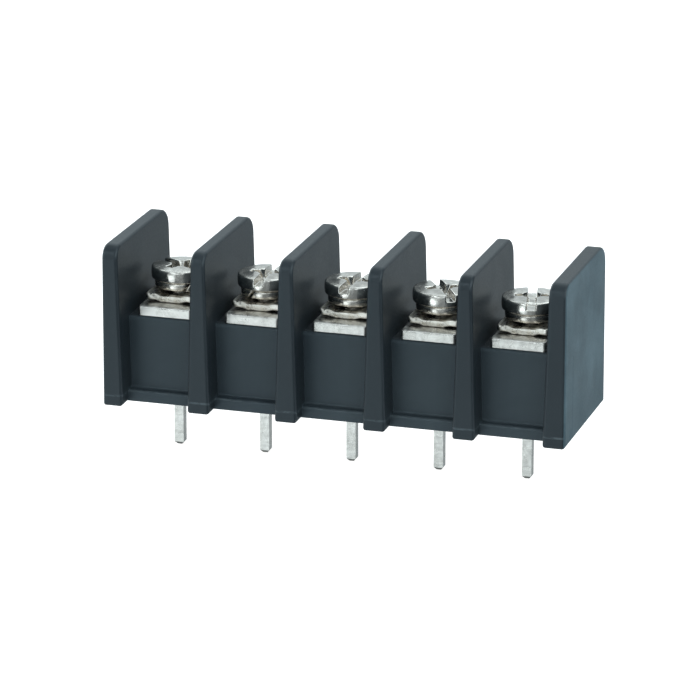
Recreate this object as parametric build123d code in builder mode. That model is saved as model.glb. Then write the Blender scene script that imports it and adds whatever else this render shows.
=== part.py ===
from build123d import *
import math
import os

os.makedirs("parts", exist_ok=True)

# ---------------------------------------------------------------------------
# Five-pole barrier terminal block for a circuit board.
# Millimetres.  +X runs along the row of poles, +Y from the wire side to the
# back, +Z up.  The origin is the centre of the middle solder pin, in the plane
# of the board that the block sits on.
# ---------------------------------------------------------------------------

POLES = 5
PITCH = 9.5                     # pole to pole

# barrier walls, one before each pole and one after the last
WALL_H = 17.2
WALL_FRONT = -8.2
WALL_BACK = 8.5
WALL_T_TOP = 1.46               # moulding draft: thin at the top ...
WALL_T_FOOT = 2.44              # ... thick at the foot
END_L_TOP = 0.90                # outer face of the first wall, from its middle
END_L_FOOT = 0.94
END_R_TOP = 1.10                # outer face of the last wall, from its middle
END_R_FOOT = 1.20
WALL_R_FRONT = 1.4              # top corners, seen from the side
WALL_R_BACK = 2.0
WALL_EDGE = 0.32                # rounding of the long edges and of the foot

# block between the walls that carries the metal
BAY_FRONT = -5.11
BAY_BACK = 5.40
BAY_TOP = 9.05
BAY_EDGE = 0.45
PLINTH_FRONT = -6.15            # low step along the foot, front and back
PLINTH_BACK = 6.45
PLINTH_H = 1.20
PLINTH_EDGE = 0.30
PLINTH_COVE = 0.28              # hollow rounding where the step meets the block

# folded terminal strip: plate on top, leg at the back, foot, solder pin
STRIP_T = 1.0
PLATE_FRONT = -4.82
PLATE_HALF = 2.95
PLATE_NECK = 3.45               # behind this line the strip is only the leg's width
LEG_HALF = 1.5
LEG_OUT = 5.35                  # outer face of the leg
FOOT_Z = 1.60                   # underside of the foot
PIN_W = 1.0
PIN_TIP = -6.3
PIN_POINT = 0.30                # short tapered end of the pin
PIN_TAPER = 40.0
PLATE_ROLL = 0.20               # rolled upper edge of the plate
BEND_OUT = 1.45
BEND_IN = 0.45
TAP_R = 1.55
COLLAR_R = 2.45
COLLAR_H = 0.90

# screw with its spring washer, and the clamp washer under them
SCREW_Y = 0.70
SHANK_R = 1.50                  # thread root
SHANK_TIP = 4.60
HEAD_R = 3.15
HEAD_Z = 11.95                  # bearing face of the head
HEAD_SIDE = 1.04                # height of the straight side
HEAD_H = 1.42
HEAD_SHOULDER = 0.28            # radius between side and crown
SLOT_W = 0.95
SLOT_DEPTH = 0.80
CROSS_LEN = 3.7
CROSS_W = 0.90
CROSS_DEPTH = 1.15
SLOT_ANGLES = [152.0, 90.0, 85.0, 121.0, 103.0]     # as each screw was left

RING_Z = 10.97                  # spring washer, pressed flat
RING_T = 0.98
RING_IN = 1.85
RING_OUT = 2.78
RING_GAP = 0.38
RING_ANGLES = [300.0, 250.0, 325.0, 335.0, 20.0]

CLAMP_T = 0.65
CLAMP_Z = 10.08                 # underside of its middle, on the plate
CLAMP_LIFT = 0.19               # its two wings stand this much higher
CLAMP_HALF_X = 2.80
CLAMP_HALF_Y = 3.75
CLAMP_FLAT = 1.05               # half width of the middle
CLAMP_WING = 1.70               # where the wings begin
CLAMP_HOLE = 1.90

WELL_R = 2.70                   # clears the collar and the screw's end
WELL_FLOOR = 3.30

PLATE_Z = BAY_TOP               # underside of the plate
PLATE_TOP = PLATE_Z + STRIP_T
HALF_ROW = PITCH * POLES / 2.0
POLE_X = [PITCH * (i - (POLES - 1) / 2.0) for i in range(POLES)]
WALL_X = [PITCH * (i - POLES / 2.0) for i in range(POLES + 1)]


def at_y(y):
    """Upright plane facing the back at y: local x is +X, local y is +Z."""
    return Plane(origin=(0, y, 0), x_dir=(1, 0, 0), z_dir=(0, -1, 0))


def at_x(x):
    """Upright plane facing +X at x: local x is +Y, local y is +Z."""
    return Plane(origin=(x, 0, 0), x_dir=(0, 1, 0), z_dir=(1, 0, 0))


# ---------------------------------------------------------------------------
# housing: one moulding, six drafted walls joined by the block and its plinth
# ---------------------------------------------------------------------------

wall_solids = []
for n, wx in enumerate(WALL_X):
    left_top = left_foot = right_top = right_foot = None
    left_top, right_top = WALL_T_TOP / 2.0, WALL_T_TOP / 2.0
    left_foot, right_foot = WALL_T_FOOT / 2.0, WALL_T_FOOT / 2.0
    if n == 0:
        left_top, left_foot = END_L_TOP, END_L_FOOT
    if n == POLES:
        right_top, right_foot = END_R_TOP, END_R_FOOT
    with BuildPart() as wall:
        with BuildSketch(at_y(WALL_FRONT)):
            with BuildLine():
                Polyline(
                    (wx - left_foot, 0),
                    (wx - left_top, WALL_H),
                    (wx + right_top, WALL_H),
                    (wx + right_foot, 0),
                    close=True,
                )
            make_face()
        extrude(amount=-(WALL_BACK - WALL_FRONT))
        across = wall.edges().filter_by(Axis.X).group_by(Axis.Z)[-1]
        fillet(across.sort_by(Axis.Y)[0], radius=WALL_R_FRONT)
        across = wall.edges().filter_by(Axis.X).filter_by(lambda e: e.center().Z > WALL_H - 4.0)
        back_top = [e for e in across if abs(e.center().Y - WALL_BACK) < 1e-3]
        fillet(back_top, radius=WALL_R_BACK)
        sides = wall.faces().filter_by(lambda f: abs(f.normal_at(f.center()).X) > 0.9)
        rim = [e for f in sides for e in f.edges()]
        fillet(rim, radius=WALL_EDGE)
    wall_solids.append(wall.part)

with BuildPart() as plinth:
    cove = PLINTH_COVE
    bite = cove * (1.0 - math.sqrt(0.5))
    with BuildSketch(at_x(-HALF_ROW)):
        with BuildLine():
            Polyline(
                (BAY_FRONT - cove, PLINTH_H),
                (PLINTH_FRONT, PLINTH_H),
                (PLINTH_FRONT, 0),
                (PLINTH_BACK, 0),
                (PLINTH_BACK, PLINTH_H),
                (BAY_BACK + cove, PLINTH_H),
            )
            ThreePointArc(
                (BAY_BACK + cove, PLINTH_H),
                (BAY_BACK + bite, PLINTH_H + bite),
                (BAY_BACK, PLINTH_H + cove),
            )
            Line((BAY_BACK, PLINTH_H + cove), (BAY_FRONT, PLINTH_H + cove))
            ThreePointArc(
                (BAY_FRONT, PLINTH_H + cove),
                (BAY_FRONT - bite, PLINTH_H + bite),
                (BAY_FRONT - cove, PLINTH_H),
            )
        make_face()
    extrude(amount=2 * HALF_ROW)
    outer = [
        e
        for e in plinth.edges().filter_by(Axis.X)
        if abs(e.center().Z - PLINTH_H) < 0.01
        and (e.center().Y < PLINTH_FRONT + 0.01 or e.center().Y > PLINTH_BACK - 0.01)
    ]
    fillet(outer, radius=PLINTH_EDGE)

with BuildPart() as housing:
    # block through all the walls
    with BuildSketch(at_x(-HALF_ROW)):
        with BuildLine():
            Polyline(
                (BAY_FRONT, 0),
                (BAY_FRONT, BAY_TOP),
                (BAY_BACK, BAY_TOP),
                (BAY_BACK, 0),
                close=True,
            )
        make_face()
    extrude(amount=2 * HALF_ROW)
    top_edges = [e for e in housing.edges().filter_by(Axis.X) if e.center().Z > BAY_TOP - 0.01]
    fillet(top_edges, radius=BAY_EDGE)
    add(plinth.part)
    for solid in wall_solids:
        add(solid)
    # one well, leg slot, foot channel and pin slot in each bay
    for px in POLE_X:
        with BuildSketch(Plane.XY.offset(WELL_FLOOR)):
            with Locations((px, SCREW_Y)):
                Circle(WELL_R)
        extrude(amount=BAY_TOP - WELL_FLOOR + 0.01, mode=Mode.SUBTRACT)
        # leg slot with eased corners where the strip bends
        slot_y = LEG_OUT - STRIP_T - 0.05
        with BuildSketch(at_x(px - LEG_HALF - 0.06)):
            with BuildLine():
                Polyline(
                    (slot_y, FOOT_Z + STRIP_T + 0.05 + 0.55),
                    (slot_y, BAY_TOP - 0.55),
                    (slot_y - 0.55, BAY_TOP),
                    (slot_y - 0.55, BAY_TOP + 0.2),
                    (BAY_BACK + 0.2, BAY_TOP + 0.2),
                    (BAY_BACK + 0.2, FOOT_Z),
                    (-PIN_W / 2.0 - 0.06, FOOT_Z),
                    (-PIN_W / 2.0 - 0.06, FOOT_Z + STRIP_T + 0.05),
                    (slot_y - 0.55, FOOT_Z + STRIP_T + 0.05),
                    close=True,
                )
            make_face()
        extrude(amount=2 * (LEG_HALF + 0.06), mode=Mode.SUBTRACT)
        with BuildSketch(Plane.XY.offset(-0.01)):
            with Locations((px, (PLINTH_BACK + 0.1 - PIN_W / 2.0 - 0.06) / 2.0)):
                Rectangle(PIN_W + 0.12, PLINTH_BACK + 0.1 + PIN_W / 2.0 + 0.06)
        extrude(amount=FOOT_Z + 0.02, mode=Mode.SUBTRACT)

housing.part.label = "housing"
export_step(housing.part, "parts/housing.step")

# ---------------------------------------------------------------------------
# metal parts of each pole
# ---------------------------------------------------------------------------

for n, px in enumerate(POLE_X):
    tag = str(n + 1)

    # terminal: one folded strip, tapped through a drawn collar
    with BuildPart() as terminal:
        with BuildSketch(at_x(px - PLATE_HALF)):
            with BuildLine():
                Polyline(
                    (PLATE_FRONT, PLATE_Z),
                    (PLATE_FRONT, PLATE_TOP),
                    (LEG_OUT, PLATE_TOP),
                    (LEG_OUT, FOOT_Z),
                    (PIN_W / 2.0, FOOT_Z),
                    (PIN_W / 2.0, PIN_TIP + PIN_POINT),
                    (-PIN_W / 2.0, PIN_TIP + PIN_POINT),
                    (-PIN_W / 2.0, FOOT_Z + STRIP_T),
                    (LEG_OUT - STRIP_T, FOOT_Z + STRIP_T),
                    (LEG_OUT - STRIP_T, PLATE_Z),
                    close=True,
                )
            make_face()
        extrude(amount=2 * PLATE_HALF)
        # narrow the strip behind the plate, then down to the pin
        for side in (-1, 1):
            with BuildSketch(Plane.XY.offset(PIN_TIP - 1)):
                with Locations((px + side * (LEG_HALF + 2.0), PLATE_NECK + 2.0)):
                    Rectangle(4.0, 4.0)
            extrude(amount=PLATE_TOP - PIN_TIP + 2, mode=Mode.SUBTRACT)
            with BuildSketch(Plane.XY.offset(PIN_TIP - 1)):
                with Locations((px + side * (PIN_W / 2.0 + 2.0), 0.9 - 4.0)):
                    Rectangle(4.0, 8.0)
            extrude(amount=FOOT_Z + STRIP_T - PIN_TIP + 1.3, mode=Mode.SUBTRACT)
            with BuildSketch(Plane.XY.offset(PIN_TIP - 1)):
                with Locations((px + side * (LEG_HALF + 2.0), 2.0)):
                    Rectangle(4.0, 6.0)
            extrude(amount=FOOT_Z + STRIP_T - PIN_TIP + 1.3, mode=Mode.SUBTRACT)
        # bends
        def bends(y, z, tol=0.02):
            return [
                e
                for e in terminal.edges().filter_by(Axis.X)
                if abs(e.center().Y - y) < tol and abs(e.center().Z - z) < tol
            ]

        fillet(bends(LEG_OUT, PLATE_TOP) + bends(LEG_OUT, FOOT_Z), radius=BEND_OUT)
        fillet(bends(-PIN_W / 2.0, FOOT_Z + STRIP_T), radius=1.1)
        fillet(
            bends(LEG_OUT - STRIP_T, PLATE_Z) + bends(LEG_OUT - STRIP_T, FOOT_Z + STRIP_T),
            radius=BEND_IN,
        )
        fillet(bends(PIN_W / 2.0, FOOT_Z), radius=0.15)
        # plate corners
        corners = [
            e
            for e in terminal.edges().filter_by(Axis.Z)
            if abs(e.center().Z - (PLATE_Z + STRIP_T / 2.0)) < 0.02
            and abs(abs(e.center().X - px) - PLATE_HALF) < 0.02
        ]
        fillet(corners, radius=0.30)
        # collar and tapping hole
        with BuildSketch(Plane.XY.offset(PLATE_Z - COLLAR_H)):
            with Locations((px, SCREW_Y)):
                Circle(COLLAR_R)
        extrude(amount=COLLAR_H + 0.2)
        with BuildSketch(Plane.XY.offset(PLATE_Z - COLLAR_H - 0.1)):
            with Locations((px, SCREW_Y)):
                Circle(TAP_R)
        extrude(amount=COLLAR_H + STRIP_T + 0.2, mode=Mode.SUBTRACT)
        # rolled upper edge of the plate and pointed pin tip
        upper = [
            e
            for e in terminal.faces().filter_by(Axis.Z).sort_by(Axis.Z)[-1].outer_wire().edges()
            if e.center().Y < PLATE_NECK + 0.5
        ]
        fillet(upper, radius=PLATE_ROLL)
        with BuildSketch(Plane.XY.offset(PIN_TIP + PIN_POINT)):
            with Locations((px, 0)):
                Rectangle(PIN_W, PIN_W)
        extrude(amount=-PIN_POINT, taper=PIN_TAPER)
    terminal.part.label = "terminal_" + tag
    export_step(terminal.part, "parts/terminal_" + tag + ".step")

    # clamp washer: a bent rectangle, wings raised either side of the screw
    with BuildPart() as clamp:
        low, high = CLAMP_Z, CLAMP_Z + CLAMP_LIFT
        with BuildSketch(at_y(SCREW_Y - CLAMP_HALF_Y)):
            with BuildLine():
                Polyline(
                    (px - CLAMP_HALF_X, high),
                    (px - CLAMP_WING, high),
                    (px - CLAMP_FLAT, low),
                    (px + CLAMP_FLAT, low),
                    (px + CLAMP_WING, high),
                    (px + CLAMP_HALF_X, high),
                    (px + CLAMP_HALF_X, high + CLAMP_T),
                    (px + CLAMP_WING, high + CLAMP_T),
                    (px + CLAMP_FLAT, low + CLAMP_T),
                    (px - CLAMP_FLAT, low + CLAMP_T),
                    (px - CLAMP_WING, high + CLAMP_T),
                    (px - CLAMP_HALF_X, high + CLAMP_T),
                    close=True,
                )
            make_face()
        extrude(amount=-2 * CLAMP_HALF_Y)
        folds = [
            e
            for e in clamp.edges().filter_by(Axis.Y)
            if abs(abs(e.center().X - px) - CLAMP_HALF_X) > 0.1
        ]
        fillet(folds, radius=0.45)
        corners = [
            e
            for e in clamp.edges().filter_by(Axis.Z)
            if abs(abs(e.center().X - px) - CLAMP_HALF_X) < 0.01
        ]
        fillet(corners, radius=0.40)
        with BuildSketch(Plane.XY.offset(CLAMP_Z - 0.5)):
            with Locations((px, SCREW_Y)):
                Circle(CLAMP_HOLE)
        extrude(amount=2.0, mode=Mode.SUBTRACT)
    clamp.part.label = "clamp_washer_" + tag
    export_step(clamp.part, "parts/clamp_washer_" + tag + ".step")

    # spring washer: square-section ring, split on a slant
    turn = math.radians(RING_ANGLES[n])
    with BuildPart() as ring:
        with BuildSketch(Plane.XY.offset(RING_Z)):
            with Locations((px, SCREW_Y)):
                Circle(RING_OUT)
                Circle(RING_IN, mode=Mode.SUBTRACT)
        extrude(amount=RING_T)
        chamfer(ring.edges().filter_by(GeomType.CIRCLE), length=0.07)
        radial = Plane(
            origin=(px, SCREW_Y, RING_Z + RING_T / 2.0),
            x_dir=(-math.sin(turn), math.cos(turn), 0),
            z_dir=(math.cos(turn), math.sin(turn), 0),
        )
        with BuildSketch(radial):
            with BuildLine():
                Polyline(
                    (-RING_GAP / 2.0 - 0.30, -RING_T),
                    (RING_GAP / 2.0 - 0.30, -RING_T),
                    (RING_GAP / 2.0 + 0.30, RING_T),
                    (-RING_GAP / 2.0 + 0.30, RING_T),
                    close=True,
                )
            make_face()
        extrude(amount=RING_OUT + 0.5, mode=Mode.SUBTRACT)
    ring.part.label = "spring_washer_" + tag
    export_step(ring.part, "parts/spring_washer_" + tag + ".step")

    # screw: pan head with a slot and a cross, plain shank at the thread's root
    rs, side, top = HEAD_SHOULDER, HEAD_SIDE, HEAD_H
    rise = top - side - rs
    lean = 2.0 * (math.atan2(HEAD_R - rs, rise) - math.pi / 4.0)
    crown = rise / (1.0 - math.sin(lean)) + rs
    join = (crown * math.cos(lean), top - crown + crown * math.sin(lean))
    mid_s = (
        HEAD_R - rs + rs * math.cos(lean / 2.0),
        side + rs * math.sin(lean / 2.0),
    )
    half = (lean + math.pi / 2.0) / 2.0
    mid_c = (crown * math.cos(half), top - crown + crown * math.sin(half))
    length = HEAD_Z - SHANK_TIP
    lay = math.radians(SLOT_ANGLES[n])
    upright = Plane(
        origin=(px, SCREW_Y, HEAD_Z),
        x_dir=(math.cos(lay), math.sin(lay), 0),
        z_dir=(math.sin(lay), -math.cos(lay), 0),
    )
    above = Plane(
        origin=(px, SCREW_Y, HEAD_Z + HEAD_H),
        x_dir=(math.cos(lay), math.sin(lay), 0),
        z_dir=(0, 0, 1),
    )
    with BuildPart() as screw:
        with BuildSketch(upright):
            with BuildLine():
                Line((0, -length), (SHANK_R - 0.35, -length))
                Line((SHANK_R - 0.35, -length), (SHANK_R, -length + 0.45))
                Line((SHANK_R, -length + 0.45), (SHANK_R, 0))
                Line((SHANK_R, 0), (HEAD_R - 0.12, 0))
                Line((HEAD_R - 0.12, 0), (HEAD_R, 0.12))
                Line((HEAD_R, 0.12), (HEAD_R, side))
                ThreePointArc((HEAD_R, side), mid_s, join)
                ThreePointArc(join, mid_c, (0, top))
                Line((0, top), (0, -length))
            make_face()
        revolve(axis=Axis((px, SCREW_Y, HEAD_Z), (0, 0, 1)))
        with BuildSketch(above.offset(-SLOT_DEPTH)):
            Rectangle(2 * HEAD_R + 1.0, SLOT_W)
        extrude(amount=SLOT_DEPTH + 0.5, mode=Mode.SUBTRACT)
        with BuildSketch(above):
            Rectangle(CROSS_W, CROSS_LEN)
            Rectangle(CROSS_LEN, CROSS_W)
        extrude(amount=-CROSS_DEPTH, taper=12, mode=Mode.SUBTRACT)
    screw.part.label = "screw_" + tag
    export_step(screw.part, "parts/screw_" + tag + ".step")
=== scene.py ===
import bpy
import math
import numpy as np
from mathutils import Matrix, Vector


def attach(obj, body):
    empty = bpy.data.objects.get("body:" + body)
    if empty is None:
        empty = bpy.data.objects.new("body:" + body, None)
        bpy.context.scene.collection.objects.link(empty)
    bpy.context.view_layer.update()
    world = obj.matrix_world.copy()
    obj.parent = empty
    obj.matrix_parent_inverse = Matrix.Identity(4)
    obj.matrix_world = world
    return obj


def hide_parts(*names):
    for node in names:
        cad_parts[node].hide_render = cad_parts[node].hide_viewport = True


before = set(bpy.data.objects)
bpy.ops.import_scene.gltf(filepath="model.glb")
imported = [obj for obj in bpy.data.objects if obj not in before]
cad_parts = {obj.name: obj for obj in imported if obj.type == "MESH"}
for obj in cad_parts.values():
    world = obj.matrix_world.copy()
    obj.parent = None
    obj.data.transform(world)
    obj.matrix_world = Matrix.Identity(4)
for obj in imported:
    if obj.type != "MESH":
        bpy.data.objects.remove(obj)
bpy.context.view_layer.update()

MM = 0.001
POLE_X = [-19.0, -9.5, 0.0, 9.5, 19.0]
SCREW_Y = 0.70
HEAD_Z = 11.95
RING_Z = 10.97
CLAMP_Z = 10.08

# ---------------------------------------------------------------------------
# node helpers
# ---------------------------------------------------------------------------


class Net:
    """Small wrapper that adds nodes to one material and links them."""

    def __init__(self, name):
        self.mat = bpy.data.materials.new(name)
        self.mat.use_nodes = True
        self.tree = self.mat.node_tree
        self.tree.nodes.clear()
        self.out = self.tree.nodes.new("ShaderNodeOutputMaterial")
        self.bsdf = self.tree.nodes.new("ShaderNodeBsdfPrincipled")
        self.tree.links.new(self.bsdf.outputs[0], self.out.inputs[0])
        self.coord = self.tree.nodes.new("ShaderNodeTexCoord")

    def link(self, a, b):
        self.tree.links.new(a, b)

    def put(self, socket, value):
        if hasattr(value, "links") or hasattr(value, "is_linked"):
            self.link(value, socket)
        else:
            socket.default_value = value

    def node(self, kind, **kw):
        n = self.tree.nodes.new(kind)
        for k, v in kw.items():
            setattr(n, k, v)
        return n

    def mapping(self, scale=(1, 1, 1), rotation=(0, 0, 0), location=(0, 0, 0), source=None):
        n = self.node("ShaderNodeMapping")
        self.link(source or self.coord.outputs["Object"], n.inputs["Vector"])
        n.inputs["Scale"].default_value = scale
        n.inputs["Rotation"].default_value = rotation
        n.inputs["Location"].default_value = location
        return n.outputs[0]

    def noise(self, vector, scale, detail=3.0, rough=0.5, distortion=0.0):
        n = self.node("ShaderNodeTexNoise")
        self.link(vector, n.inputs["Vector"])
        n.inputs["Scale"].default_value = scale
        n.inputs["Detail"].default_value = detail
        n.inputs["Roughness"].default_value = rough
        n.inputs["Distortion"].default_value = distortion
        return n.outputs["Fac"]

    def range(self, value, a, b, c, d, smooth=True):
        n = self.node("ShaderNodeMapRange")
        if smooth:
            n.interpolation_type = "SMOOTHSTEP"
        self.put(n.inputs["Value"], value)
        for k, v in zip(("From Min", "From Max", "To Min", "To Max"), (a, b, c, d)):
            n.inputs[k].default_value = v
        return n.outputs[0]

    def math(self, op, a, b=0.0, c=None, clamp=False):
        n = self.node("ShaderNodeMath", operation=op)
        n.use_clamp = clamp
        self.put(n.inputs[0], a)
        self.put(n.inputs[1], b)
        if c is not None:
            self.put(n.inputs[2], c)
        return n.outputs[0]

    def mix(self, factor, a, b):
        n = self.node("ShaderNodeMix", data_type="RGBA")
        self.put(n.inputs[0], factor)
        self.put(n.inputs[6], a)
        self.put(n.inputs[7], b)
        return n.outputs[2]

    def xyz(self, source=None):
        n = self.node("ShaderNodeSeparateXYZ")
        self.link(source or self.coord.outputs["Object"], n.inputs[0])
        return n.outputs

    def bump(self, height, strength, distance, normal=None):
        n = self.node("ShaderNodeBump")
        n.inputs["Strength"].default_value = strength
        n.inputs["Distance"].default_value = distance
        self.link(height, n.inputs["Height"])
        if normal is not None:
            self.link(normal, n.inputs["Normal"])
        return n.outputs[0]


def rgb(r, g, b):
    return (r, g, b, 1.0)


# ---------------------------------------------------------------------------
# materials
# ---------------------------------------------------------------------------


def black_plastic():
    """Moulded black thermoplastic: satin skin, fine grain, faint flow clouds, with painted light on the end faces, the
    bays and the plinth's upper edge.
    """
    n = Net("moulded_black")
    grain = n.noise(n.coord.outputs["Object"], 5200.0, 4.0, 0.6)
    cloud = n.noise(n.coord.outputs["Object"], 150.0, 4.0, 0.55, 0.6)
    flow = n.noise(n.mapping(scale=(420.0, 70.0, 60.0)), 1.0, 3.0, 0.5, 0.4)
    tone = n.math("MULTIPLY_ADD", cloud, 0.65, n.math("MULTIPLY", flow, 0.35))
    colour = n.mix(
        n.range(tone, 0.32, 0.68, 0.0, 1.0),
        rgb(0.0130, 0.0175, 0.0215),
        rgb(0.0185, 0.0240, 0.0285),
    )
    # painted light: the two outer end faces get a lighter base colour than the rest, darker towards the foot, standing
    # in for the light from the right, and a duller skin;
    # the faces of the bays are a little duller too, and get painted light of their own below
    place = n.xyz()
    outer = n.math(
        "MAXIMUM",
        n.range(place[0], 0.02470, 0.02486, 0.0, 1.0),
        n.range(n.math("MULTIPLY", place[0], -1.0), 0.02450, 0.02466, 0.0, 1.0),
    )
    patch = n.noise(n.coord.outputs["Object"], 210.0, 4.0, 0.6, 0.3)
    foot = n.range(place[2], 0.0, 0.0065, 0.0, 1.0)
    # painted light on the end faces: a lighter base colour, darker towards the foot
    end_painted_light = n.mix(
        n.math("MULTIPLY", n.range(patch, 0.28, 0.72, 0.25, 1.0), n.math("MULTIPLY_ADD", foot, 0.6, 0.4)),
        rgb(0.034, 0.059, 0.073),
        rgb(0.082, 0.125, 0.147),
    )
    bay = n.range(n.math("ABSOLUTE", n.math("ADD", place[1], 0.00511)), 0.00010, 0.00025, 1.0, 0.0)
    bay = n.math("MULTIPLY", bay, n.range(place[2], 0.00895, 0.00915, 1.0, 0.0))
    # painted light: the plinth's front and the hollow above it get the same lighter base colour as the bays, which
    # lifts the shade in the hollow
    step_y = n.range(n.math("ABSOLUTE", n.math("ADD", place[1], 0.00572)), 0.00062, 0.00074, 1.0, 0.0)
    step_z = n.range(place[2], 0.00140, 0.00155, 1.0, 0.0)
    bay = n.math("MAXIMUM", bay, n.math("MULTIPLY", step_y, step_z))
    # painted light: a lighter base colour for the bay faces, the plinth's front and the hollow above it
    bay_painted_light = n.mix(
        n.range(tone, 0.30, 0.70, 0.0, 1.0),
        rgb(0.028, 0.038, 0.046),
        rgb(0.040, 0.052, 0.060),
    )
    colour = n.mix(bay, colour, bay_painted_light)
    # painted highlight: a pale, ragged line along the upper edge of the plinth, standing in for the light its rounded
    # edge catches
    rag = n.noise(n.mapping(scale=(900.0, 3000.0, 3000.0)), 1.0, 3.0, 0.6, 0.5)
    line_z = n.range(n.math("ABSOLUTE", n.math("ADD", place[2], -0.00112)), 0.00006, 0.00016, 1.0, 0.0)
    line_y = n.range(place[1], -0.00605, -0.00585, 1.0, 0.0)
    plinth_edge_painted_highlight = n.math("MULTIPLY", n.math("MULTIPLY", line_z, line_y), n.range(rag, 0.36, 0.62, 0.1, 1.0))
    # the painted highlight is laid over the plinth's upper edge
    colour = n.mix(plinth_edge_painted_highlight, colour, rgb(0.060, 0.074, 0.082))
    # painted light: the lit colour of the end faces goes over everything else
    colour = n.mix(outer, colour, end_painted_light)
    n.link(colour, n.bsdf.inputs["Base Color"])
    rough = n.math(
        "ADD",
        n.range(tone, 0.25, 0.75, 0.34, 0.42),
        n.range(grain, 0.3, 0.7, -0.03, 0.03),
    )
    rough = n.math("MULTIPLY_ADD", bay, 0.06, rough)
    rough = n.math("MULTIPLY_ADD", outer, 0.10, rough)
    n.link(rough, n.bsdf.inputs["Roughness"])
    n.bsdf.inputs["IOR"].default_value = 1.50
    n.bsdf.inputs["Specular IOR Level"].default_value = 0.38
    n.bsdf.inputs["Specular Tint"].default_value = rgb(0.86, 0.95, 1.0)
    wave = n.noise(n.coord.outputs["Object"], 420.0, 3.0, 0.55)
    b1 = n.bump(wave, 0.14, 0.00006)
    b2 = n.bump(grain, 0.30, 0.000016, b1)
    n.link(b2, n.bsdf.inputs["Normal"])
    return n.mat


def plating(name, dark, light, rough_low, rough_high, brush=(1.0, 1.0, 1.0), warm=0.0, wear=1.0, pressed=0.0):
    """Nickel or tin plating: metal with handling scuffs, fine drawn lines and faint stains."""
    n = Net(name)
    obj = n.coord.outputs["Object"]
    lines = n.noise(n.mapping(scale=brush), 1.0, 5.0, 0.65)
    stain = n.noise(obj, 620.0, 4.0, 0.6, 0.8)
    fine = n.noise(obj, 9000.0, 3.0, 0.6)
    colour = n.mix(n.range(stain, 0.35, 0.70, 0.0, 1.0), dark, light)
    if warm:
        tint = n.noise(obj, 900.0, 3.0, 0.5, 1.2)
        colour = n.mix(
            n.range(tint, 0.52, 0.74, 0.0, warm), colour, rgb(0.60, 0.50, 0.33)
        )
    n.link(colour, n.bsdf.inputs["Base Color"])
    n.bsdf.inputs["Metallic"].default_value = 1.0
    rough = n.math(
        "ADD",
        n.range(stain, 0.25, 0.75, rough_low, rough_high),
        n.range(lines, 0.35, 0.7, -0.03, 0.06),
    )
    n.link(rough, n.bsdf.inputs["Roughness"])
    dents = n.noise(obj, 1500.0, 3.0, 0.55)
    b1 = n.bump(dents, 0.30, 0.00004 * wear)
    b2 = n.bump(lines, 0.20, 0.00002 * wear, b1)
    if pressed:
        marks = n.noise(n.mapping(scale=(1100.0, 2600.0, 2200.0)), 1.0, 1.0, 0.4, 0.4)
        b2 = n.bump(marks, 0.7, pressed, b2)
    b3 = n.bump(fine, 0.12, 0.000006, b2)
    n.link(b3, n.bsdf.inputs["Normal"])
    return n.mat


plastic = black_plastic()
strip_metal = plating(
    "tinned_strip", rgb(0.46, 0.44, 0.41), rgb(0.74, 0.71, 0.67), 0.22, 0.38, (260.0, 4200.0, 2600.0), 0.0, 2.4, 0.00003
)
washer_metal = plating(
    "nickel_washer", rgb(0.56, 0.52, 0.46), rgb(0.92, 0.87, 0.79), 0.22, 0.36, (3200.0, 420.0, 5200.0), 0.25, 2.6, 0.00016
)
spring_metal = plating(
    "nickel_spring", rgb(0.54, 0.50, 0.45), rgb(0.82, 0.77, 0.70), 0.16, 0.28, (900.0, 900.0, 9000.0), 0.15, 1.3
)
screw_metal = plating(
    "nickel_screw", rgb(0.56, 0.53, 0.49), rgb(0.88, 0.84, 0.78), 0.11, 0.24, (1500.0, 1500.0, 9000.0), 0.15, 1.3
)

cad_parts["housing"].material_slots[0].material = plastic
for i in range(1, 6):
    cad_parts["terminal_%d" % i].material_slots[0].material = strip_metal

# ---------------------------------------------------------------------------
# solids from distance fields: a grid is sampled, one vertex is put in each cell
# that the surface crosses, and the vertices are then slid onto the surface
# ---------------------------------------------------------------------------


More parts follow.
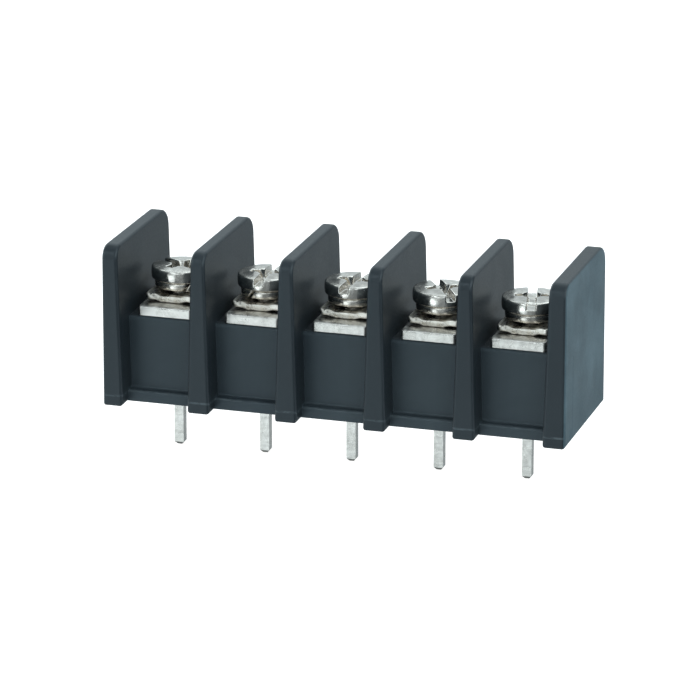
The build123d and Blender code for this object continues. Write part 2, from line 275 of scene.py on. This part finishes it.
def surface_net(field, low, high, step):
    low = np.array(low, float) - 2.5 * step
    high = np.array(high, float) + 2.5 * step
    count = np.ceil((high - low) / step).astype(int) + 1
    axes = [low[k] + step * np.arange(count[k]) for k in range(3)]
    gx, gy, gz = np.meshgrid(*axes, indexing="ij")
    val = field(gx, gy, gz)
    inside = val < 0
    cx, cy, cz = count - 1
    total = np.zeros((cx, cy, cz), int)
    for dx in (0, 1):
        for dy in (0, 1):
            for dz in (0, 1):
                total += inside[dx : cx + dx, dy : cy + dy, dz : cz + dz]
    cell = (total > 0) & (total < 8)
    index = -np.ones((cx, cy, cz), int)
    ids = np.argwhere(cell)
    index[cell] = np.arange(len(ids))
    # start at the mean of the edge crossings
    acc = np.zeros((len(ids), 3))
    num = np.zeros(len(ids))
    corner = [(0, 0, 0), (1, 0, 0), (0, 1, 0), (1, 1, 0), (0, 0, 1), (1, 0, 1), (0, 1, 1), (1, 1, 1)]
    pairs = [(a, b) for a in range(8) for b in range(a + 1, 8) if sum(abs(np.subtract(corner[a], corner[b]))) == 1]
    for a, b in pairs:
        ca, cb = np.array(corner[a]), np.array(corner[b])
        va = val[tuple((ids + ca).T)]
        vb = val[tuple((ids + cb).T)]
        cross = (va < 0) != (vb < 0)
        t = np.where(cross, va / np.where(cross, va - vb, 1.0), 0.0)
        p = ca + (cb - ca) * t[:, None]
        acc[cross] += p[cross]
        num[cross] += 1
    pts = low + step * (ids + acc / num[:, None])
    quads = []
    for k in range(3):
        a = [slice(None)] * 3
        b = [slice(None)] * 3
        a[k], b[k] = slice(0, -1), slice(1, None)
        fa, fb = inside[tuple(a)], inside[tuple(b)]
        change = np.argwhere(fa != fb)
        first = fa[tuple(change.T)]
        u, v = [(1, 2), (2, 0), (0, 1)][k]
        ok = (change[:, u] > 0) & (change[:, v] > 0) & (change[:, u] < count[u] - 1) & (change[:, v] < count[v] - 1)
        change, first = change[ok], first[ok]
        eu, ev = np.zeros(3, int), np.zeros(3, int)
        eu[u], ev[v] = 1, 1
        q = np.stack(
            [
                index[tuple((change - eu - ev).T)],
                index[tuple((change - ev).T)],
                index[tuple(change.T)],
                index[tuple((change - eu).T)],
            ],
            1,
        )
        q[~first] = q[~first][:, ::-1]
        quads.append(q)
    quads = np.concatenate(quads)
    eps = step * 0.02

    def grad(p):
        g = np.zeros_like(p)
        for k in range(3):
            d = np.zeros(3)
            d[k] = eps
            hi, lo = p + d, p - d
            g[:, k] = (field(hi[:, 0], hi[:, 1], hi[:, 2]) - field(lo[:, 0], lo[:, 1], lo[:, 2])) / (2 * eps)
        return g

    home = pts.copy()
    for turn in range(4):
        # even the spacing a little, then slide onto the surface
        if turn < 3:
            total_p = np.zeros_like(pts)
            total_n = np.zeros(len(pts))
            for s in range(4):
                for t in (s - 1, (s + 1) % 4):
                    np.add.at(total_p, quads[:, s], pts[quads[:, t]])
                    np.add.at(total_n, quads[:, s], 1)
            pts = pts * 0.5 + 0.5 * total_p / total_n[:, None]
        for _ in range(3):
            g = grad(pts)
            f = field(pts[:, 0], pts[:, 1], pts[:, 2])
            move = -(f / np.maximum((g * g).sum(1), 0.05))[:, None] * g
            size = np.linalg.norm(move, axis=1, keepdims=True)
            pts = pts + move * np.minimum(1.0, 0.5 * step / np.maximum(size, 1e-12))
        away = pts - home
        pts = home + np.clip(away, -0.9 * step, 0.9 * step)
    return pts, quads


def mesh_from(name, pts, faces, scale=MM):
    me = bpy.data.meshes.new(name)
    me.from_pydata((np.asarray(pts) * scale).tolist(), [], [list(map(int, f)) for f in faces])
    me.validate()
    me.update()
    for p in me.polygons:
        p.use_smooth = True
    return me


def add_piece(name, me, mat, body, matrix, node):
    me.materials.clear()
    me.materials.append(mat)
    o = bpy.data.objects.new(name, me)
    bpy.context.scene.collection.objects.link(o)
    o.matrix_world = matrix
    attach(o, body)
    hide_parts(node)
    return o


def round_max(a, b, r):
    """Intersection of two solids with the common edge rounded to radius r."""
    u, v = np.maximum(r + a, 0.0), np.maximum(r + b, 0.0)
    return np.minimum(-r, np.maximum(a, b)) + np.sqrt(u * u + v * v)


def round_min(a, b, r):
    return -round_max(-a, -b, r)


def smooth(x, a, b):
    t = np.clip((x - a) / (b - a), 0, 1)
    return t * t * (3 - 2 * t)


# ---------------------------------------------------------------------------
# screw: pan head with slot and cross, and a rolled thread
# ---------------------------------------------------------------------------

HEAD_R = 3.14
HEAD_H = 1.41
ROOT_R, CREST_R = 1.48, 1.74
THREAD_P = 0.6
TIP = -7.34


def head_field(x, y, z):
    r = np.sqrt(x * x + y * y)
    # slightly barrelled side, quick shoulder, nearly flat crown
    side = r - (HEAD_R - 0.055 * ((z - 0.62) / 0.62) ** 2)
    crown_r = 41.0
    crown = np.sqrt(r * r + (z - (HEAD_H - crown_r)) ** 2) - crown_r
    body = round_max(side, crown, 0.16)
    body = round_max(body, -z, 0.12)
    # the slot, a little wider at its mouth, worn round at the rim
    depth = HEAD_H - 0.80
    slot = round_max(np.abs(y) - (0.47 + 0.03 * (z - depth)), depth - z, 0.10)
    body = round_max(body, -slot, 0.07)
    # four tapered arms of the cross round a conical middle
    lean = 0.20 * (z - 0.27)
    for a, b in ((x, y), (y, x)):
        arm = round_max(np.abs(b) - (0.36 + 0.4 * lean), np.abs(a) - (1.38 + 1.7 * lean), 0.12)
        floor = 0.32 + 0.13 * np.abs(a) - z
        arm = round_max(arm, floor, 0.08)
        body = round_max(body, -arm, 0.06)
    cone = r - (0.55 + 0.42 * (z - 0.27))
    cone = round_max(cone, 0.26 + 0.30 * r - z, 0.06)
    return round_max(body, -cone, 0.06)


def shank_mesh():
    """Threaded shank as rings on a helix-shaped height field, closed at both ends."""
    around, per_turn = 72, 12
    rows = []
    z = 0.17
    step = THREAD_P / per_turn
    theta = np.linspace(0, 2 * math.pi, around, endpoint=False)
    while z > TIP:
        rows.append(z)
        z -= step
    rows.append(TIP)
    pts = []
    for z in rows:
        phase = (z / THREAD_P - theta / (2 * math.pi)) % 1.0
        wave = np.abs(phase - 0.5) * 2.0            # 1 at the crest, 0 at the root
        ridge = smooth(wave, 0.12, 0.90)
        run = smooth(z, -0.95, -1.35) * (1 - smooth(z, TIP + 0.9, TIP + 0.1))
        radius = ROOT_R + (CREST_R - ROOT_R) * ridge * run
        radius = radius - 0.42 * smooth(z, TIP + 0.42, TIP)
        pts.append(np.stack([radius * np.cos(theta), radius * np.sin(theta), np.full(around, z)], 1))
    pts = np.concatenate(pts)
    faces = []
    for i in range(len(rows) - 1):
        for j in range(around):
            a, b = i * around + j, i * around + (j + 1) % around
            faces.append((b, a, a + around, b + around))
    top, bottom = len(pts), len(pts) + 1
    pts = np.vstack([pts, [[0, 0, rows[0]], [0, 0, TIP]]])
    last = (len(rows) - 1) * around
    for j in range(around):
        faces.append((j, (j + 1) % around, top))
        faces.append((last + (j + 1) % around, last + j, bottom))
    return pts, faces


def screw_mesh():
    pts, quads = surface_net(head_field, (-HEAD_R, -HEAD_R, 0), (HEAD_R, HEAD_R, HEAD_H), 0.075)
    sp, sf = shank_mesh()
    head = bpy.data.objects.new("tmp_head", mesh_from("tmp_head", pts, quads))
    shank = bpy.data.objects.new("tmp_shank", mesh_from("tmp_shank", sp, sf))
    for o in (head, shank):
        bpy.context.scene.collection.objects.link(o)
    mod = head.modifiers.new("join", "BOOLEAN")
    mod.operation = "UNION"
    mod.solver = "MANIFOLD"
    mod.object = shank
    bpy.context.view_layer.update()
    me = bpy.data.meshes.new_from_object(head.evaluated_get(bpy.context.evaluated_depsgraph_get()))
    for o in (head, shank):
        bpy.data.objects.remove(o)
    for p in me.polygons:
        p.use_smooth = True
    me.name = "screw_visual"
    return me


# ---------------------------------------------------------------------------
# spring washer: rounded square section swept round, cut on a slant
# ---------------------------------------------------------------------------


def ring_mesh():
    r_in, r_out, t = 1.87, 2.77, 0.96
    section = []
    for cx, cy, a0 in (
        (r_out - 0.20, t - 0.20, 0),
        (r_in + 0.10, t - 0.10, 90),
        (r_in + 0.10, 0.10, 180),
        (r_out - 0.16, 0.16, 270),
    ):
        rad = {0: 0.20, 90: 0.10, 180: 0.10, 270: 0.16}[a0]
        for k in range(7):
            a = math.radians(a0 + 15 * k)
            section.append((cx + rad * math.cos(a), cy + rad * math.sin(a)))
    # the outer side is drawn slightly round
    dense = []
    for i, (r, z) in enumerate(section):
        r2, z2 = section[(i + 1) % len(section)]
        dense.append((r, z))
        if math.hypot(r2 - r, z2 - z) > 0.3:
            for k in range(1, 6):
                dense.append((r + (r2 - r) * k / 6, z + (z2 - z) * k / 6))
    section = [(r + (0.05 * math.cos((z / t - 0.5) * math.pi) - 0.05 if r > 2.5 else 0.0), z) for r, z in dense]
    around = 160
    half_gap = 0.19
    pts = []
    for i in range(around + 1):
        f = i / around
        for r, z in section:
            # the end faces lean, so each height starts and ends at its own angle
            lean = 0.30 * (2 * z / t - 1)
            start = (half_gap + lean) / r
            end = 2 * math.pi - (half_gap - lean) / r
            a = start + (end - start) * f
            lift = 0.018 * (2 * f - 1)
            pts.append((r * math.cos(a), r * math.sin(a), z * 0.962 + 0.018 + lift))
    m = len(section)
    faces = []
    for i in range(around):
        for j in range(m):
            a, b = i * m + j, i * m + (j + 1) % m
            faces.append((a, a + m, b + m, b))
    faces.append(tuple(range(m)))
    faces.append(tuple(around * m + j for j in reversed(range(m))))
    return pts, faces


# ---------------------------------------------------------------------------
# clamp washer: pressed rectangle with a raised wing each side of the screw
# ---------------------------------------------------------------------------


def clamp_field(x, y, z):
    t = 0.65
    lift = 0.19 * smooth(np.abs(x), 1.0, 1.75)
    ridge = 0.05 * np.exp(-(((np.abs(x) - 2.25) / 0.16) ** 2))
    top = z - (lift + t - ridge * smooth(np.abs(y), 1.2, 2.0))
    under = lift - z
    ax, ay = np.abs(x) - 2.78, np.abs(y) - 3.73
    plan = round_max(ax, ay, 0.42)
    hole = 1.92 - np.sqrt(x * x + y * y)
    body = round_max(top, under, 0.02)
    body = round_max(body, plan, 0.13)
    return round_max(body, hole, 0.07)


screw_me = screw_mesh()
ring_pts, ring_faces = ring_mesh()
ring_me = mesh_from("spring_washer_visual", ring_pts, ring_faces)
clamp_pts, clamp_quads = surface_net(clamp_field, (-2.78, -3.73, 0), (2.78, 3.73, 0.84), 0.085)
clamp_me = mesh_from("clamp_washer_visual", clamp_pts, clamp_quads)

SLOT_ANGLES = [152.0, 90.0, 85.0, 121.0, 103.0]
RING_ANGLES = [300.0, 250.0, 325.0, 335.0, 20.0]


def at(x, y, z, turn=0.0):
    return Matrix.Translation((x * MM, y * MM, z * MM)) @ Matrix.Rotation(math.radians(turn), 4, "Z")


for i, px in enumerate(POLE_X):
    k = i + 1
    add_piece("screw_%d_visual" % k, screw_me.copy(), screw_metal, "screw_%d" % k,
              at(px, SCREW_Y, HEAD_Z, SLOT_ANGLES[i]), "screw_%d" % k)
    add_piece("spring_washer_%d_visual" % k, ring_me.copy(), spring_metal, "screw_%d" % k,
              at(px, SCREW_Y, RING_Z, RING_ANGLES[i]), "spring_washer_%d" % k)
    add_piece("clamp_washer_%d_visual" % k, clamp_me.copy(), washer_metal, "clamp_%d" % k,
              at(px, SCREW_Y, CLAMP_Z), "clamp_washer_%d" % k)

# ---------------------------------------------------------------------------
# stage, light and camera
# ---------------------------------------------------------------------------

floor_me = bpy.data.meshes.new("floor")
S = 2.5
FLOOR_Z = -0.00632
floor_me.from_pydata([(-S, -S, FLOOR_Z), (S, -S, FLOOR_Z), (S, S, FLOOR_Z), (-S, S, FLOOR_Z)], [], [(0, 1, 2, 3)])
floor = bpy.data.objects.new("floor", floor_me)
bpy.context.scene.collection.objects.link(floor)
fm = Net("studio_floor")
fm.bsdf.inputs["Base Color"].default_value = rgb(0.60, 0.60, 0.60)
fm.bsdf.inputs["Roughness"].default_value = 0.9
fm.bsdf.inputs["Specular IOR Level"].default_value = 0.2
fm.bsdf.inputs["Emission Color"].default_value = rgb(1.0, 0.97, 0.95)
fm.bsdf.inputs["Emission Strength"].default_value = 0.85
floor_me.materials.append(fm.mat)
floor.visible_glossy = False
floor.visible_diffuse = False


def toward(az, el):
    """Unit vector: az 0 is the wire side (-Y), positive to +X; el up."""
    a, e = math.radians(az), math.radians(el)
    return (math.sin(a) * math.cos(e), -math.cos(a) * math.cos(e), math.sin(e))


# soft round lights far away: name, azimuth, elevation, half width in degrees, strength
SOFTBOXES = [
    ("front_left", -60, 14, 20, 2.5),
    ("front", -4, 12, 12, 1.4),
    ("front_right", 42, 22, 18, 2.6),
    ("right", 98, 10, 20, 1.7),
    ("right_high", 75, 42, 18, 2.4),
    ("back_left", -128, 22, 22, 2.4),
    ("back", 178, 16, 22, 0.5),
    ("back_high", 172, 52, 18, 1.5),
    ("left", -100, 5, 20, 0.8),
    ("key", -21, 40, 7, 5.0),
    ("top", 0, 85, 24, 0.5),
    ("table_front_left", -38, -17, 10, 1.7),
    ("table_front", -20, -17, 10, 1.7),
    ("table_back", 168, -17, 13, 0.28),
    ("table_right", 92, -20, 24, 0.5),
    ("table_left", -95, -20, 24, 0.4),
    ("table_back_left", -155, -20, 24, 0.3),
]
AMBIENT = 0.30

world = bpy.data.worlds.new("studio")
bpy.context.scene.world = world
world.use_nodes = True
wt = world.node_tree
wt.nodes.clear()
wo = wt.nodes.new("ShaderNodeOutputWorld")
bg = wt.nodes.new("ShaderNodeBackground")
tc = wt.nodes.new("ShaderNodeTexCoord")
total = None
for name, box_az, box_el, width, strength in SOFTBOXES:
    dot = wt.nodes.new("ShaderNodeVectorMath")
    dot.operation = "DOT_PRODUCT"
    dot.label = name
    dot.inputs[1].default_value = toward(box_az, box_el)
    wt.links.new(tc.outputs["Generated"], dot.inputs[0])
    mr = wt.nodes.new("ShaderNodeMapRange")
    mr.interpolation_type = "SMOOTHSTEP"
    mr.inputs["From Min"].default_value = math.cos(math.radians(width * 1.5))
    mr.inputs["From Max"].default_value = math.cos(math.radians(width * 0.5))
    mr.inputs["To Min"].default_value = 0.0
    mr.inputs["To Max"].default_value = strength
    wt.links.new(dot.outputs["Value"], mr.inputs["Value"])
    plus = wt.nodes.new("ShaderNodeMath")
    plus.operation = "ADD"
    wt.links.new(mr.outputs[0], plus.inputs[0])
    if total is None:
        plus.inputs[1].default_value = AMBIENT
    else:
        wt.links.new(total, plus.inputs[1])
    total = plus.outputs[0]
bg.inputs["Color"].default_value = (0.84, 0.955, 1.0, 1.0)
wt.links.new(total, bg.inputs["Strength"])
wt.links.new(bg.outputs[0], wo.inputs[0])

scene = bpy.context.scene
scene.view_settings.view_transform = "Standard"
scene.view_settings.look = "None"
scene.view_settings.exposure = 0.0

cam_data = bpy.data.cameras.new("camera")
cam_data.sensor_fit = "HORIZONTAL"
cam_data.sensor_width = 36.0
cam_data.lens = 233.0
cam_data.clip_start = 0.01
cam_data.clip_end = 10.0
cam = bpy.data.objects.new("camera", cam_data)
scene.collection.objects.link(cam)
az, el, roll = math.radians(16.81), math.radians(17.53), math.radians(0.129)
back = Vector((math.sin(az) * math.cos(el), -math.cos(az) * math.cos(el), math.sin(el)))
right = Vector((math.cos(az), math.sin(az), 0))
up = back.cross(right)
r2 = math.cos(roll) * right + math.sin(roll) * up
u2 = -math.sin(roll) * right + math.cos(roll) * up
m = Matrix.Identity(4)
for row in range(3):
    m[row][0], m[row][1], m[row][2] = r2[row], u2[row], back[row]
m.translation = Vector((129.781, -430.512, 147.833)) * MM
cam.matrix_world = m
scene.camera = cam

bpy.context.view_layer.update()
